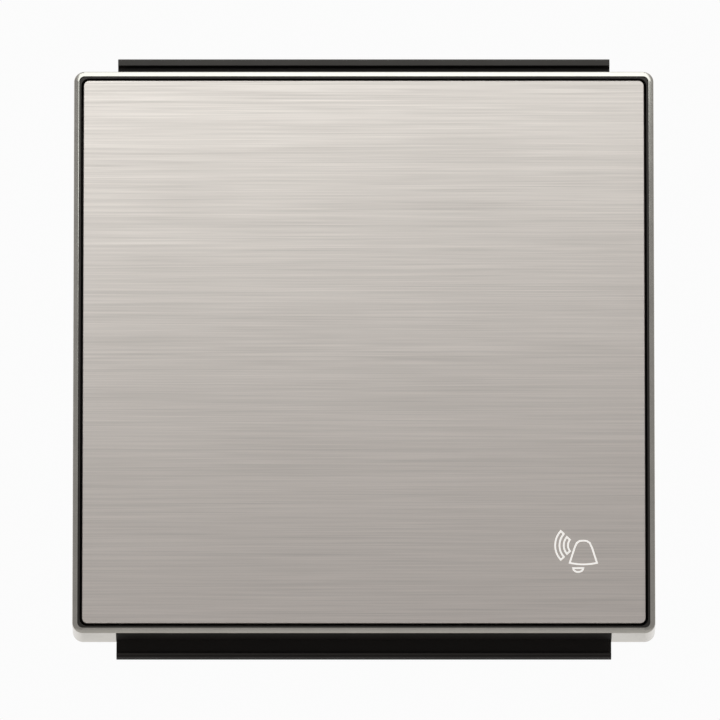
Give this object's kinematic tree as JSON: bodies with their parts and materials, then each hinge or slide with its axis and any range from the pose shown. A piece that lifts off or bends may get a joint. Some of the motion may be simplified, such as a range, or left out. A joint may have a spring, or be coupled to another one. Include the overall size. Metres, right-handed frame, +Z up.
{
  "type": "doorbell push button",
  "caption": "Square rocker push button for a wall box: brushed steel face in a slim trim ring with snap rails, spring return, contacts and wire terminals behind.",
  "frame": {"origin": "centre of the box screw circle on the wall line, in the plane of the mounting plate's back", "axes": "+X to the right, +Y into the wall and +Z up, for someone who faces the button"},
  "size_m": [0.063, 0.031, 0.0672],
  "materials": {
    "brushed_face": "fine horizontal grain",
    "ring_metal": "smooth satin",
    "black_plastic": "fine matt",
    "pale_plastic": "plain moulded",
    "grey_plastic": "plain moulded",
    "galvanised_steel": "galvanised sheet",
    "spring_steel": "drawn wire",
    "contact_brass": "stamped sheet",
    "contact_silver": "plain",
    "plated_steel": "zinc plated"
  },
  "bodies": {
    "base": {"cover_frame": "black_plastic", "trim_ring": "ring_metal", "mounting_plate": "galvanised_steel", "insert_cover": "grey_plastic", "insert_housing": "grey_plastic", "return_spring": "spring_steel", "strip_tips": "contact_silver", "contact_strip_left": "contact_brass", "contact_strip_right": "contact_brass", "terminal_cage_left": "plated_steel", "terminal_cage_right": "plated_steel", "pressure_plates": "plated_steel", "terminal_screws": "plated_steel", "cover_screws": "plated_steel"},
    "rocker": {"face_plate": "brushed_face", "rocker_body": "black_plastic", "cradle": "pale_plastic"},
    "plunger": {"plunger": "pale_plastic", "bridge_spring": "spring_steel"},
    "bridge": {"contact_bridge": "contact_brass", "bridge_tips": "contact_silver"}
  },
  "joints": [
    {"name": "rocker_tilt", "type": "hinge", "parent": "base", "child": "rocker", "pos_m": [0, -0.0054, 0], "axis": [1, 0, 0], "range_deg": [0, 2.8], "stiffness_Nm_per_rad": 0.6, "springref_deg": -2.86},
    {"name": "plunger_slide", "type": "slide", "parent": "base", "child": "plunger", "axis": [0, 1, 0], "range_m": [0, 0.00062], "deforming": ["return_spring"]},
    {"name": "bridge_slide", "type": "slide", "parent": "base", "child": "bridge", "axis": [0, 1, 0], "range_m": [0, 0.00046], "deforming": ["bridge_spring"]}
  ],
  "couplings": [
    {"joint": "plunger_slide", "follows": "rocker_tilt", "m_per_rad": 0.0125},
    {"joint": "bridge_slide", "follows": "rocker_tilt", "m_per_rad": 0.0092083}
  ]
}
